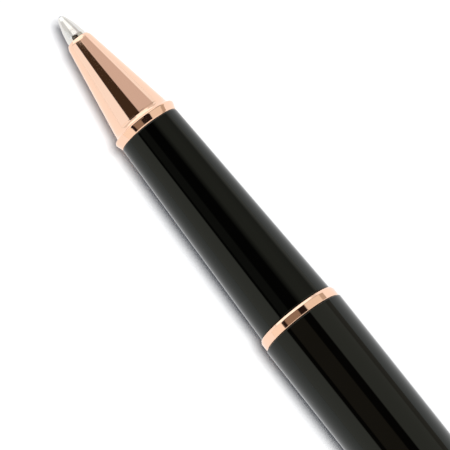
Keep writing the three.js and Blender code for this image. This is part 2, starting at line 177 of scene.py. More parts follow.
def revolve(outline, segments, relief=None):
    """A closed mesh turned from a closed outline. relief(station, radius, angle) gives a new radius."""
    mesh = bmesh.new()
    rings = []
    for station, radius in outline:
        if radius < 1e-6:
            rings.append([mesh.verts.new(place(station, 0, 0))])
            continue
        ring = []
        for i in range(segments):
            angle = 2 * math.pi * i / segments
            there = relief(station, radius, angle) if relief else radius
            ring.append(mesh.verts.new(place(station, there, angle)))
        rings.append(ring)
    for ring, following in zip(rings, rings[1:] + rings[:1]):
        join_rings(mesh, ring, following, segments)
    return mesh


def join_rings(mesh, ring, following, segments):
    if len(ring) == 1 and len(following) == 1:
        return
    for i in range(segments):
        j = (i + 1) % segments
        if len(ring) == 1:
            mesh.faces.new((ring[0], following[i], following[j]))
        elif len(following) == 1:
            mesh.faces.new((ring[i], following[0], ring[j]))
        else:
            mesh.faces.new((ring[i], following[i], following[j], ring[j]))


def add_piece(node, mesh, material, sharp=SHARP_ANGLE):
    """Makes the fine piece that stands for a CAD node, on the node's own body."""
    bmesh.ops.recalc_face_normals(mesh, faces=mesh.faces)
    data = bpy.data.meshes.new(node + "_fine")
    mesh.to_mesh(data)
    mesh.free()
    data.polygons.foreach_set("use_smooth", [True] * len(data.polygons))
    data.set_sharp_from_angle(angle=sharp)
    data.materials.append(material)
    piece = bpy.data.objects.new(node + "_fine", data)
    bpy.context.scene.collection.objects.link(piece)
    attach(piece, NODE_BODY[node])
    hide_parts(node)
    return piece


def loose_object(name, mesh):
    data = bpy.data.meshes.new(name)
    mesh.to_mesh(data)
    mesh.free()
    piece = bpy.data.objects.new(name, data)
    bpy.context.scene.collection.objects.link(piece)
    return piece


def carve(mesh, boxes):
    """Cuts boxes out of a mesh. A box is (low, high), each as place in the cap, across and up."""
    body = loose_object("uncut", mesh)
    cutters = []
    for low, high in boxes:
        cutter = bmesh.new()
        bmesh.ops.create_cube(cutter, size=1)
        for vertex in cutter.verts:
            share = [(1 if side > 0 else 0) for side in vertex.co]
            vertex.co = point_in_cap(*(a + (b - a) * t for a, b, t in zip(low, high, share)))
        cutters.append(loose_object("cutter", cutter))
        cut = body.modifiers.new("cut", "BOOLEAN")
        cut.operation = "DIFFERENCE"
        cut.solver = "EXACT"
        cut.object = cutters[-1]
    evaluated = body.evaluated_get(bpy.context.evaluated_depsgraph_get())
    carved = bmesh.new()
    carved.from_mesh(evaluated.data)
    for piece in (body, *cutters):
        data = piece.data
        bpy.data.objects.remove(piece)
        bpy.data.meshes.remove(data)
    return carved


def point_in_cap(place_in_cap, across, up):
    """A point of the frame, in metres, from millimetres in the cap and above the pen's axis."""
    return (TIP + (CAP_MOUTH + place_in_cap) * MM, across * MM, AXIS_HEIGHT + up * MM)


def turn(node, corners, segments=SEGMENTS, relief=None):
    return add_piece(node, revolve(rounded(corners), segments, relief), MATERIALS[NODE_SLOT[node]])


def turn_in_cap(node, corners, segments=SEGMENTS, relief=None):
    return turn(node, in_cap(corners), segments, relief)


def in_cap(corners):
    return [(CAP_MOUTH + place_in_cap, radius, fillet) for place_in_cap, radius, fillet in corners]


def turn_and_carve(node, corners, boxes):
    """A piece of the cap that is turned first and then slotted."""
    mesh = revolve(rounded(in_cap(corners)), HIDDEN_SEGMENTS)
    bmesh.ops.recalc_face_normals(mesh, faces=mesh.faces)
    return add_piece(node, carve(mesh, boxes), MATERIALS[NODE_SLOT[node]])


# ---------- Materials ----------


class Shader:
    """A Principled material, with a short way to add nodes to it."""

    def __init__(self, name, **sockets):
        self.material = bpy.data.materials.new(name)
        self.material.use_nodes = True
        self.nodes = self.material.node_tree.nodes
        self.links = self.material.node_tree.links
        self.surface = self.nodes["Principled BSDF"]
        for socket, value in sockets.items():
            self.surface.inputs[socket.replace("_", " ")].default_value = value
        self.where = self.nodes.new("ShaderNodeTexCoord").outputs["Object"]

    def node(self, kind, **inputs):
        made = self.nodes.new(kind)
        for name, value in inputs.items():
            self.feed(made.inputs[name.replace("_", " ")], value)
        return made

    def feed(self, socket, value):
        if isinstance(value, bpy.types.NodeSocket):
            self.links.new(value, socket)
        else:
            socket.default_value = value

    def noise(self, scale, detail=2.0, stretch=(1, 1, 1)):
        """Noise in the frame's metres. stretch makes it finer along an axis."""
        mapping = self.node("ShaderNodeMapping", Vector=self.where, Scale=stretch)
        made = self.node(
            "ShaderNodeTexNoise", Vector=mapping.outputs[0], Scale=scale, Detail=detail
        )
        return made.outputs["Fac"]

    def remap(self, value, low, high, new_low, new_high):
        made = self.nodes.new("ShaderNodeMapRange")
        for socket, number in zip(made.inputs, (value, low, high, new_low, new_high)):
            self.feed(socket, number)
        return made.outputs[0]

    def mix(self, share, a, b):
        made = self.nodes.new("ShaderNodeMix")
        made.data_type = "RGBA"
        self.feed(made.inputs["Factor"], share)
        self.feed(made.inputs[6], (*a, 1))
        self.feed(made.inputs[7], (*b, 1))
        return made.outputs[2]

    def colour(self, value):
        self.links.new(value, self.surface.inputs["Base Color"])

    def roughness(self, value):
        self.links.new(value, self.surface.inputs["Roughness"])

    def bump(self, height, strength, depth):
        made = self.node("ShaderNodeBump", Height=height, Strength=strength, Distance=depth)
        self.links.new(made.outputs[0], self.surface.inputs["Normal"])


def rose_gold():
    shader = Shader("rose_gold", Metallic=1.0)
    tone = shader.noise(300, 3.0)
    shader.colour(shader.mix(tone, (0.93, 0.612, 0.442), (0.935, 0.63, 0.462)))
    polish = shader.noise(2500, 3.0, (6, 1, 1))
    shader.roughness(shader.remap(polish, 0.3, 0.7, 0.035, 0.085))
    turning = shader.noise(1500, 2.0, (9, 0.05, 0.05))
    shader.bump(turning, 0.05, 0.00002)
    return shader.material


def black_resin():
    shader = Shader("black_resin", IOR=1.36, Specular_Tint=(0.93, 1.0, 0.87, 1))
    depth = shader.noise(220, 4.0)
    shader.colour(shader.mix(depth, (0.0005, 0.0005, 0.0004), (0.0011, 0.0011, 0.0009)))
    haze = shader.noise(160, 5.0)
    shader.roughness(shader.remap(haze, 0.3, 0.75, 0.03, 0.075))
    ripple = shader.noise(260, 1.0, (0.5, 1, 1))
    shader.bump(ripple, 0.03, 0.00005)
    return shader.material


def steel():
    shader = Shader("steel", Metallic=1.0)
    tone = shader.noise(700, 3.0)
    shader.colour(shader.mix(tone, (0.73, 0.705, 0.655), (0.80, 0.775, 0.725)))
    polish = shader.noise(4000, 2.0, (8, 0.2, 0.2))
    shader.roughness(shader.remap(polish, 0.3, 0.7, 0.07, 0.13))
    turning = shader.noise(2500, 2.0, (10, 0.05, 0.05))
    shader.bump(turning, 0.12, 0.00003)
    return shader.material


def carbide():
    shader = Shader("carbide", Metallic=1.0)
    grain = shader.noise(30000, 3.0)
    shader.colour(shader.mix(grain, (0.42, 0.42, 0.43), (0.56, 0.56, 0.57)))
    shader.roughness(shader.remap(grain, 0.3, 0.7, 0.10, 0.22))
    shader.bump(grain, 0.1, 0.000005)
    return shader.material


def brass():
    shader = Shader("brass", Metallic=1.0)
    tarnish = shader.noise(400, 4.0)
    shader.colour(shader.mix(tarnish, (0.56, 0.37, 0.12), (0.72, 0.52, 0.20)))
    tooling = shader.noise(3000, 2.0, (8, 0.1, 0.1))
    shader.roughness(shader.remap(tooling, 0.3, 0.7, 0.2, 0.34))
    shader.bump(tooling, 0.2, 0.00003)
    return shader.material


def moulded(name, dark, light, rough):
    """A satin moulded plastic with fine spark grain."""
    shader = Shader(name, IOR=1.47)
    cloud = shader.noise(350, 3.0)
    shader.colour(shader.mix(cloud, dark, light))
    grain = shader.noise(9000, 3.0)
    shader.roughness(shader.remap(grain, 0.3, 0.7, rough - 0.06, rough + 0.08))
    shader.bump(grain, 0.25, 0.00002)
    return shader.material


def ink_fibre():
    shader = Shader("ink_fibre", Roughness=0.9)
    strands = shader.noise(6000, 4.0, (0.04, 1, 1))
    shader.colour(shader.mix(strands, (0.004, 0.005, 0.012), (0.022, 0.026, 0.05)))
    shader.bump(strands, 0.7, 0.00006)
    return shader.material


def rubber():
    shader = Shader("rubber", IOR=1.5)
    bloom = shader.noise(1500, 4.0)
    shader.colour(shader.mix(bloom, (0.008, 0.008, 0.008), (0.02, 0.02, 0.021)))
    shader.roughness(shader.remap(bloom, 0.3, 0.7, 0.6, 0.8))
    shader.bump(bloom, 0.2, 0.00003)
    return shader.material


MATERIALS = {
    "rose_gold": rose_gold(),
    "black_resin": black_resin(),
    "steel": steel(),
    "carbide": carbide(),
    "brass": brass(),
    "dark_plastic": moulded("dark_plastic", (0.010, 0.010, 0.011), (0.016, 0.016, 0.018), 0.42),
    "pale_plastic": moulded("pale_plastic", (0.74, 0.72, 0.68), (0.80, 0.78, 0.74), 0.45),
    "ink_fibre": ink_fibre(),
    "rubber": rubber(),
}

# ---------- Refill ----------

BALL_RADIUS = 0.35
POINT_RADIUS = 1.4
REFILL_RADIUS = 2.98
PLUG_RADIUS = 2.66  # of what is pushed into the refill's tube
CHANNEL_RADIUS = 0.16


def writing_ball():
    mesh = bmesh.new()
    bmesh.ops.create_icosphere(mesh, subdivisions=5, radius=BALL_RADIUS * MM)
    bmesh.ops.translate(mesh, verts=mesh.verts, vec=place(BALL_RADIUS, 0, 0))
    add_piece("writing_ball", mesh, MATERIALS["carbide"])


def writing_point():
    front, rear = ends("writing_point")
    shank_front, shank_radius = 8.0, 1.0
    feed_front, feed_bore = 7.9, 0.57
    outside = [
        (front, 0.36, 0.02),
        (0.27, 0.46, 0.04),
        (0.8, 0.7, 0.3),
        (2.1, 1.11, 0.3),
        (3.5, POINT_RADIUS, 0.12),
        (shank_front, POINT_RADIUS, 0.05),
        (shank_front, shank_radius, 0.02),
        (rear, shank_radius, 0.1),
    ]
    socket = [
        (front, 0.325, 0),
        (BALL_RADIUS, 0.38, 0.05),
        (0.62, 0.27, 0.02),
        (0.72, CHANNEL_RADIUS, 0.02),
        (feed_front, CHANNEL_RADIUS, 0.02),
        (feed_front + 0.1, feed_bore, 0.02),
        (rear, feed_bore, 0.02),
    ]
    turn("writing_point", tube(outside, socket))


def point_holder():
    front, rear = ends("point_holder")
    neck_radius, neck_rear = 1.64, 12.65
    plug_front = 20.0
    socket_radius, socket_rear = 1.03, 11.1
    feed_bore = 0.58
    outside = [
        (front, neck_radius, 0.1),
        (neck_rear, neck_radius, 0.2),
        (13.75, 2.8, 0.1),
        (14.0, REFILL_RADIUS, 0.1),
        (plug_front, REFILL_RADIUS, 0.05),
        (plug_front, PLUG_RADIUS, 0.02),
        (rear, PLUG_RADIUS, 0.15),
    ]
    inside = [
        (front, socket_radius, 0.02),
        (socket_rear, socket_radius, 0.02),
        (socket_rear, feed_bore, 0.02),
        (rear, feed_bore, 0.02),
    ]
    turn("point_holder", tube(outside, inside), HIDDEN_SEGMENTS)


def ink_feed():
    front, rear = ends("ink_feed")
    radius = 0.49
    turn("ink_feed", rod([(front, radius, 0.1), (rear, radius, 0.05)]), HIDDEN_SEGMENTS)


def ink_core():
    front, rear = ends("ink_core")
    radius = 2.63
    turn("ink_core", rod([(front, radius, 0.15), (rear, radius, 0.15)]), HIDDEN_SEGMENTS)


def refill_tube():
    front, rear = ends("refill_tube")
    crimp = front + 5.0
    bore = 2.74
    outside = [
        (front, REFILL_RADIUS, 0.08),
        (crimp, REFILL_RADIUS, 0.1),
        (crimp + 0.3, REFILL_RADIUS - 0.12, 0.1),
        (crimp + 0.6, REFILL_RADIUS, 0.1),
        (rear, REFILL_RADIUS, 0.08),
    ]
    inside = [(front, bore, 0.03), (rear, bore, 0.03)]
    turn("refill_tube", tube(outside, inside), HIDDEN_SEGMENTS)


def refill_plug():
    front, rear = ends("refill_plug")
    flange_front, flange_rear = 107.05, 110.4
    outside = [
        (front, PLUG_RADIUS, 0.2),
        (flange_front, PLUG_RADIUS, 0.02),
        (flange_front, REFILL_RADIUS, 0.1),
        (flange_rear, REFILL_RADIUS, 0.25),
        (flange_rear, 1.85, 0.1),
        (rear, 1.73, 0.25),
    ]
    turn("refill_plug", rod(outside), HIDDEN_SEGMENTS)


# ---------- Section ----------

NOSE_FLARE = 17.35
NOSE_LIP = 18.35
NOSE_FLARE_RADIUS = 4.05
NOSE_LIP_RADIUS = 4.72
SECTION_FRONT_RADIUS = 4.45
SECTION_REAR_RADIUS = 5.62
SECTION_BORE = 3.9
RING_RADIUS = 5.98


def nose_cone():
    front, rear = ends("nose_cone")
    band_rear = ends("section_shell")[0] - 0.05
    bore, neck_bore, refill_bore = 1.53, 1.78, 3.13
    outside = [
        (front, bore + 0.07, 0.03),
        (front + 0.4, 1.83, 0.12),
        *quarter(NOSE_FLARE, NOSE_LIP - 0.08, NOSE_FLARE_RADIUS, NOSE_LIP_RADIUS - 0.05),
        (NOSE_LIP, NOSE_LIP_RADIUS, 0.06),
        (NOSE_LIP + 0.2, NOSE_LIP_RADIUS, 0.06),
        (band_rear - 0.12, SECTION_FRONT_RADIUS, 0.04),
        (band_rear, SECTION_FRONT_RADIUS - 0.06, 0.02),
        (band_rear, SECTION_BORE - 0.05, 0.02),
        (rear, SECTION_BORE - 0.05, 0.1),
    ]
    inside = [
        (front, bore, 0.02),
        (7.7, bore, 0.05),
        (7.95, neck_bore, 0.05),
        (12.6, neck_bore, 0.1),
        (13.6, 2.83, 0.1),
        (14.0, refill_bore, 0.1),
        (rear, refill_bore, 0.05),
    ]
    turn("nose_cone", tube(outside, inside))


def section_shell():
    front, rear = ends("section_shell")
    outside = [
        (front, SECTION_FRONT_RADIUS - 0.06, 0.02),
        (front + 0.12, SECTION_FRONT_RADIUS, 0.08),
        (rear - 0.15, SECTION_REAR_RADIUS, 0.1),
        (rear, SECTION_REAR_RADIUS - 0.08, 0.03),
    ]
    inside = [(front, SECTION_BORE, 0.02), (rear, SECTION_BORE, 0.02)]
    turn("section_shell", tube(outside, inside))


def centre_ring():
    front, rear = ends("centre_ring")
    outside = [
        (front, SECTION_REAR_RADIUS + 0.02, 0.03),
        (front + 0.06, RING_RADIUS - 0.17, 0.03),
        (front + 0.39, RING_RADIUS, 0.05),
        (rear - 0.2, RING_RADIUS, 0.04),
        (rear, RING_RADIUS - 0.13, 0.02),
    ]
    bore = 4.5
    inside = [(front, bore, 0.05), (rear, bore, 0.05)]
    turn("centre_ring", tube(outside, inside))


# ---------- Screw joint ----------

THREAD_PITCH = 1.25
THREAD_ROOT = 4.0
THREAD_MINOR = THREAD_ROOT + 0.2  # bore of the insert
JOURNAL_RADIUS = 4.42
THREAD_RIDGE = 0.42
THREAD_CLEARANCE = 0.13
THREAD_FRONT = 55.0
THREAD_REAR = 60.0
THREAD_STEP = 0.05
RUN_OUT = 0.4


def ridge_height(station, angle, size):
    """How far a round ridge of that size stands above the thread's root cylinder."""
    turns = station / THREAD_PITCH - angle / (2 * math.pi)
    away = (turns - round(turns)) * THREAD_PITCH
    return math.sqrt(max(0.0, size**2 - away**2))


def thread_relief(station, radius, angle):
    if not (THREAD_FRONT <= station <= THREAD_REAR and radius > THREAD_ROOT - 0.01):
        return radius
    fade = min(1, (station - THREAD_FRONT) / RUN_OUT, (THREAD_REAR - station) / RUN_OUT)
    return THREAD_ROOT + ridge_height(station, angle, THREAD_RIDGE) * fade


def groove_relief(station, radius, angle):
    if abs(radius - THREAD_MINOR) > 0.001:
        return radius
    return max(THREAD_MINOR, THREAD_ROOT + ridge_height(station, angle, THREAD_RIDGE + THREAD_CLEARANCE))


def thread_stretch(front, rear, radius):
    steps = round((rear - front) / THREAD_STEP)
    return curve(front, rear, steps, lambda station: radius)


def section_sleeve():
    front, rear = ends("section_sleeve")
    shoulder = ends("centre_ring")[0]
    journal_rear = ends("centre_ring")[1] + 0.3
    seal_front, seal_rear = ends("sealing_ring")
    groove_front, groove_rear = seal_front - 0.1, seal_rear + 0.1
    groove_radius, bore = 3.68, 3.2
    outside = [
        (front, SECTION_BORE - 0.06, 0.1),
        (shoulder, SECTION_BORE - 0.06, 0.02),
        (shoulder, JOURNAL_RADIUS, 0.05),
        (journal_rear, JOURNAL_RADIUS, 0.08),
        (journal_rear, THREAD_ROOT, 0.02),
        (groove_front, THREAD_ROOT, 0.03),
        (groove_front, groove_radius, 0.05),
        (groove_rear, groove_radius, 0.05),
        (groove_rear, THREAD_ROOT, 0.03),
        *thread_stretch(THREAD_FRONT, THREAD_REAR, THREAD_ROOT),
        (rear - 0.2, THREAD_ROOT, 0.02),
        (rear, THREAD_ROOT - 0.2, 0.03),
    ]
    inside = [(front, bore, 0.05), (rear, bore, 0.05)]
    turn("section_sleeve", tube(outside, inside), relief=thread_relief)


def barrel_thread_insert():
    front, rear = ends("barrel_thread_insert")
    counterbore_rear = THREAD_FRONT - 0.1
    radius, counterbore = 5.29, 4.75
    outside = [(front, radius, 0.1), (rear, radius, 0.1)]
    inside = [
        (front, counterbore, 0.1),
        (counterbore_rear, counterbore, 0.02),
        *thread_stretch(counterbore_rear, rear, THREAD_MINOR),
    ]
    turn("barrel_thread_insert", tube(outside, inside), relief=groove_relief)


def sealing_ring():
    front, rear = ends("sealing_ring")
    cord = (rear - front) / 2
    middle = THREAD_ROOT + 0.15
    sides = 32
    angles = [2 * math.pi * i / sides for i in range(sides)]
    outline = [((front + rear) / 2 + cord * math.cos(a), middle + cord * math.sin(a)) for a in angles]
    turn("sealing_ring", smooth(outline))


# ---------- Barrel ----------

BARREL_RADIUS = 6.1
BARREL_REAR_RADIUS = 4.82
TAPER_START = 74.0
TAIL_RADIUS = 4.76
TAIL_FLAT_RADIUS = 2.4


def barrel_radius(station):
    rear = ends("barrel_shell")[1]
    share = (station - TAPER_START) / (rear - TAPER_START)
    return BARREL_RADIUS - (BARREL_RADIUS - BARREL_REAR_RADIUS) * share**1.5


def barrel_shell():
    front, rear = ends("barrel_shell")
    insert_rear = ends("barrel_thread_insert")[1] + 0.05
    insert_bore = 5.35
    outside = [
        (front, BARREL_RADIUS - 0.05, 0.02),
        (front + 0.06, BARREL_RADIUS, 0.04),
        *curve(TAPER_START, rear - 0.1, CURVE_STEPS, barrel_radius),
        (rear, BARREL_REAR_RADIUS - 0.05, 0.03),
    ]
    inside = [
        (front, insert_bore, 0.03),
        (insert_rear, insert_bore, 0.05),
        (insert_rear, 4.9, 0.1),
        (86.0, 4.6, 0.5),
        (104.0, SECTION_BORE, 0.5),
        (rear, SECTION_BORE, 0.03),
    ]
    turn("barrel_shell", tube(outside, inside))


def tail_ring():
    front, rear = ends("tail_ring")
    outside = [
        (front, BARREL_REAR_RADIUS - 0.02, 0.03),
        (front + 0.12, BARREL_REAR_RADIUS + 0.08, 0.05),
        (rear - 0.12, BARREL_REAR_RADIUS + 0.05, 0.05),
        (rear, TAIL_RADIUS, 0.03),
    ]
    inside = [(front, SECTION_BORE, 0.02), (rear, SECTION_BORE, 0.02)]
    turn("tail_ring", tube(outside, inside))


def tail_plug():
    front, rear = ends("tail_plug")
    head_front = ends("tail_ring")[1] + 0.05
    blind_end, bore = 119.6, 3.29
    dome = quarter(head_front + 0.1, rear, TAIL_RADIUS, TAIL_FLAT_RADIUS)
    outside = [
        (front, SECTION_BORE - 0.06, 0.1),
        (head_front, SECTION_BORE - 0.06, 0.02),
        (head_front, TAIL_RADIUS - 0.06, 0.02),
        *dome[:-1],
        (rear, TAIL_FLAT_RADIUS, 0.2),
        (rear, 0, 0),
    ]
    inside = [(front, bore, 0.1), (blind_end, bore, 0.1), (blind_end, 0, 0)]
    turn("tail_plug", tube(outside, inside))


def spring_seat():
    front, rear = ends("spring_seat")
    spigot_rear = front + 1.2
    radius = 3.18
    outside = [
        (front, 1.73, 0.25),
        (spigot_rear, 1.83, 0.05),
        (spigot_rear, radius, 0.1),
        (rear, radius, 0.1),
    ]
    turn("spring_seat", rod(outside), HIDDEN_SEGMENTS)


SPRING_WIRE = 0.22
SPRING_RADIUS = 2.3
SPRING_TURNS = 6
SPRING_STEPS = 40  # along each turn
SPRING_SIDES = 16
SPRING_SHARP_ANGLE = math.radians(60)


def refill_spring():
    """A round wire on a helix, closed at both ends with flat faces."""
    front, rear = ends("refill_spring")
    first = front + SPRING_WIRE
    pitch = (rear - front - 2 * SPRING_WIRE) / SPRING_TURNS
    mesh = bmesh.new()
    rings = []
    for step in range(SPRING_TURNS * SPRING_STEPS + 1):
        turn_share = step / SPRING_STEPS
        angle = 2 * math.pi * turn_share
        ring = []
        for side in range(SPRING_SIDES):
            around = 2 * math.pi * side / SPRING_SIDES
            station = first + pitch * turn_share + SPRING_WIRE * math.sin(around)
            radius = SPRING_RADIUS + SPRING_WIRE * math.cos(around)
            ring.append(mesh.verts.new(place(station, radius, angle)))
        rings.append(ring)
    for ring, following in zip(rings, rings[1:]):
        join_rings(mesh, ring, following, SPRING_SIDES)
    mesh.faces.new(rings[0])
    mesh.faces.new(rings[-1])
    spring = add_piece("refill_spring", mesh, MATERIALS["steel"], SPRING_SHARP_ANGLE)
    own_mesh(spring)


# ---------- Cap ----------

BAND_RADIUS = 7.45
BAND_END = 5.6
SLEEVE_RADIUS = 6.85
CAP_RADIUS = 7.3
CAP_TOP_RADIUS = 6.2
CAP_BORE = 6.3
SHELL_END = 59.6
LINER_FRONT = 28.0
LINER_REAR = 56.9
LINER_RADIUS = 5.5
COLLAR_FRONT = 59.65
COLLAR_END = 60.75
FINIAL_RADIUS = 6.15
FINIAL_FLAT_RADIUS = 3.0
CAP_LENGTH = 68.0
SCREW_BORE = 1.6
SCREW_RADIUS = 1.5
SCREW_SEAT = 58.2  # the shell's face under the screw's head


def cap_radius(place_in_cap):
    share = (place_in_cap - BAND_END) / (SHELL_END - BAND_END)
    return CAP_RADIUS - (CAP_RADIUS - CAP_TOP_RADIUS) * share**2


def cap_shell():
    head_bore = 3.1
    outside = [
        (0, SLEEVE_RADIUS - 0.12, 0.05),
        (0.2, SLEEVE_RADIUS, 0.08),
        (BAND_END + 0.05, SLEEVE_RADIUS, 0.02),
        (BAND_END + 0.05, CAP_RADIUS - 0.1, 0.02),
        *curve(BAND_END + 0.2, SHELL_END - 0.1, CURVE_STEPS, cap_radius),
        (SHELL_END, CAP_TOP_RADIUS - 0.06, 0.03),
    ]
    inside = [
        (0, CAP_BORE + 0.15, 0.03),
        (0.2, CAP_BORE, 0.1),
        (LINER_FRONT - 0.5, CAP_BORE, 0.1),
        (LINER_FRONT - 0.5, LINER_RADIUS + 0.05, 0.03),
        (LINER_REAR + 0.05, LINER_RADIUS + 0.05, 0.05),
        (LINER_REAR + 0.05, head_bore, 0.03),
        (SCREW_SEAT, head_bore, 0.05),
        (SCREW_SEAT, SCREW_BORE, 0.03),
        (SHELL_END, SCREW_BORE, 0.03),
    ]
    turn_in_cap("cap_shell", tube(outside, inside))


def cap_band():
    front = 0.6
    outside = [
        (front, BAND_RADIUS - 0.2, 0.05),
        (front + 0.3, BAND_RADIUS, 0.12),
        (BAND_END - 0.3, BAND_RADIUS, 0.12),
        (BAND_END, BAND_RADIUS - 0.2, 0.05),
    ]
    inside = [(front, SLEEVE_RADIUS + 0.05, 0.03), (BAND_END, SLEEVE_RADIUS + 0.05, 0.03)]
    turn_in_cap("cap_band", tube(outside, inside))


def inner_cap():
    radius, bore, wall = LINER_RADIUS - 0.01, 4.98, 0.8
    outside = [(LINER_FRONT, radius, 0.1), (LINER_REAR, radius, 0.1), (LINER_REAR, 0, 0)]
    inside = [
        (LINER_FRONT, bore + 0.2, 0.05),
        (LINER_FRONT + wall, bore, 0.1),
        (LINER_REAR - wall, bore, 0.3),
        (LINER_REAR - wall, 0, 0),
    ]
    turn_in_cap("inner_cap", tube(outside, inside), HIDDEN_SEGMENTS)


def cap_clutch():
    front, hoop, rear = 5.5, 10.5, 12.5
    grip, bore = 5.8, 6.0
    outside = [
        (front, CAP_BORE - 0.27, 0.08),
        (hoop, CAP_BORE - 0.06, 0.2),
        (rear, CAP_BORE - 0.06, 0.08),
    ]
    inside = [
        (front, grip + 0.12, 0.08),
        (front + 1, grip, 0.6),
        (front + 2, grip + 0.12, 0.6),
        (hoop, bore, 0.1),
        (rear, bore, 0.08),
    ]
    slot_rear, half = hoop + 0.2, 0.4
    wide = CAP_BORE + 1
    across = ((front - 1, -wide, -half), (slot_rear, wide, half))
    upright = ((front - 1, -half, -wide), (slot_rear, half, wide))
    turn_and_carve("cap_clutch", tube(outside, inside), [across, upright])


COLLAR_RADIUS = 6.45
LUG_HALF_WIDTH = 1.8
LUG_TOP = 7.6
LUG_SQUARENESS = 24


def lug_relief(station, radius, angle):
    """Adds the clip's lug to the collar's rim."""
    up, across = math.sin(angle) / LUG_TOP, abs(math.cos(angle)) / LUG_HALF_WIDTH
    if radius < COLLAR_RADIUS / 2 or up <= 0:
        return radius
    reach = (up**LUG_SQUARENESS + across**LUG_SQUARENESS) ** (-1 / LUG_SQUARENESS)
    return radius + max(0.0, reach - COLLAR_RADIUS)


def clip_collar():
    """The washer between shell and finial, in one piece with the lug."""
    outside = [
        (COLLAR_FRONT, COLLAR_RADIUS - 0.15, 0.05),
        (COLLAR_FRONT + 0.15, COLLAR_RADIUS, 0.08),
        (COLLAR_END - 0.15, COLLAR_RADIUS, 0.08),
        (COLLAR_END, COLLAR_RADIUS - 0.15, 0.05),
    ]
    inside = [(COLLAR_FRONT, SCREW_BORE, 0.03), (COLLAR_END, SCREW_BORE, 0.03)]
    turn_in_cap("clip_collar", tube(outside, inside), 4 * SEGMENTS, lug_relief)


def finial_screw():
    head_front, head_rear, end = 57.0, 58.15, 64.5
    head_radius, half = 2.8, 0.35
    outside = [
        (head_front, head_radius - 0.2, 0.08),
        (head_front + 0.2, head_radius, 0.1),
        (head_rear, head_radius, 0.08),
        (head_rear, SCREW_RADIUS, 0.05),
        (end, SCREW_RADIUS, 0.3),
    ]
    slot = ((head_front - 1, -half, -head_radius - 1), (head_front + 0.5, half, head_radius + 1))
    turn_and_carve("finial_screw", rod(outside), [slot])


def finial():
    front = COLLAR_END + 0.05
    dome = quarter(front + 0.4, CAP_LENGTH, FINIAL_RADIUS, FINIAL_FLAT_RADIUS)
    outside = [(front, FINIAL_RADIUS - 0.06, 0.03), (front + 0.1, FINIAL_RADIUS, 0.05), *dome[:-1]]
    outside += [(CAP_LENGTH, FINIAL_FLAT_RADIUS, 0.25), (CAP_LENGTH, 0, 0)]
    blind_end = 64.8
    inside = [(front, SCREW_BORE, 0.03), (blind_end, SCREW_BORE, 0.1), (blind_end, 0, 0)]
    turn_in_cap("finial", tube(outside, inside))


# ---------- Clip ----------

CLIP_FOOT = 22.5
CLIP_FOOT_BOTTOM = 7.27
CLIP_ROOT_BOTTOM = 7.7
CLIP_TOP = 9.1
CLIP_THICKNESS = 0.9
CLIP_ROOT_WIDTH = 3.8
CLIP_FOOT_WIDTH = 2.4
CLIP_NOSE = 1.2  # length of the rounded front end
CLIP_HEEL = 0.9  # length of the rounded rear end
CLIP_HEEL_DROP = 0.62  # share of the height that the heel loses
CLIP_SIDES = 40
CLIP_END_STEPS = 14
CLIP_ARM_STEPS = 90
CLIP_SQUARENESS = 0.4
CLIP_SHARP_ANGLE = math.radians(50)


def ease(value, start, end):
    share = min(1.0, max(0.0, (value - start) / (end - start)))
    return share * share * (3 - 2 * share)


def clip_section(place_in_cap):
    """Bottom, top and half width of the clip, in millimetres above the pen's axis."""
    arm_bottom = CLIP_TOP - CLIP_THICKNESS
    foot = math.exp(-(((place_in_cap - CLIP_FOOT - 2.0) / 1.5) ** 2))
    bottom = arm_bottom - (arm_bottom - CLIP_FOOT_BOTTOM) * foot
    bottom -= (arm_bottom - CLIP_ROOT_BOTTOM) * ease(place_in_cap, COLLAR_FRONT - 0.7, COLLAR_FRONT)
    top = CLIP_TOP - 0.25 * ease(place_in_cap, CLIP_FOOT + 9, CLIP_FOOT + 1)
    taper = (place_in_cap - CLIP_FOOT) / (COLLAR_END - CLIP_FOOT)
    width = CLIP_FOOT_WIDTH + (CLIP_ROOT_WIDTH - CLIP_FOOT_WIDTH) * taper
    nose = min(1.0, (place_in_cap - CLIP_FOOT) / CLIP_NOSE)
    nose = math.sqrt(max(0.0, 1 - (1 - nose) ** 2))
    middle = (bottom + top) / 2
    into_heel = min(1, max(0, (place_in_cap - COLLAR_END + CLIP_HEEL) / CLIP_HEEL))
    heel = 1 - CLIP_HEEL_DROP * (1 - math.sqrt(1 - into_heel**2))
    top = bottom + (top - bottom) * heel
    return middle - (middle - bottom) * nose, middle + (top - middle) * nose, width / 2 * nose


def clip_places():
    """Places of the clip's sections, closer together at its rounded ends."""
    arm_front, arm_rear = CLIP_FOOT + CLIP_NOSE, COLLAR_END - CLIP_HEEL
    places = [CLIP_FOOT + CLIP_NOSE * (i / CLIP_END_STEPS) ** 2 for i in range(CLIP_END_STEPS)]
    places += [arm_front + (arm_rear - arm_front) * i / CLIP_ARM_STEPS for i in range(CLIP_ARM_STEPS)]
    places += [COLLAR_END - CLIP_HEEL * (1 - i / CLIP_END_STEPS) ** 2 for i in range(CLIP_END_STEPS + 1)]
    return places


def squared(value):
    """Turns the cosine or sine of a circle into that of a square with round corners."""
    return math.copysign(abs(value) ** CLIP_SQUARENESS, value)


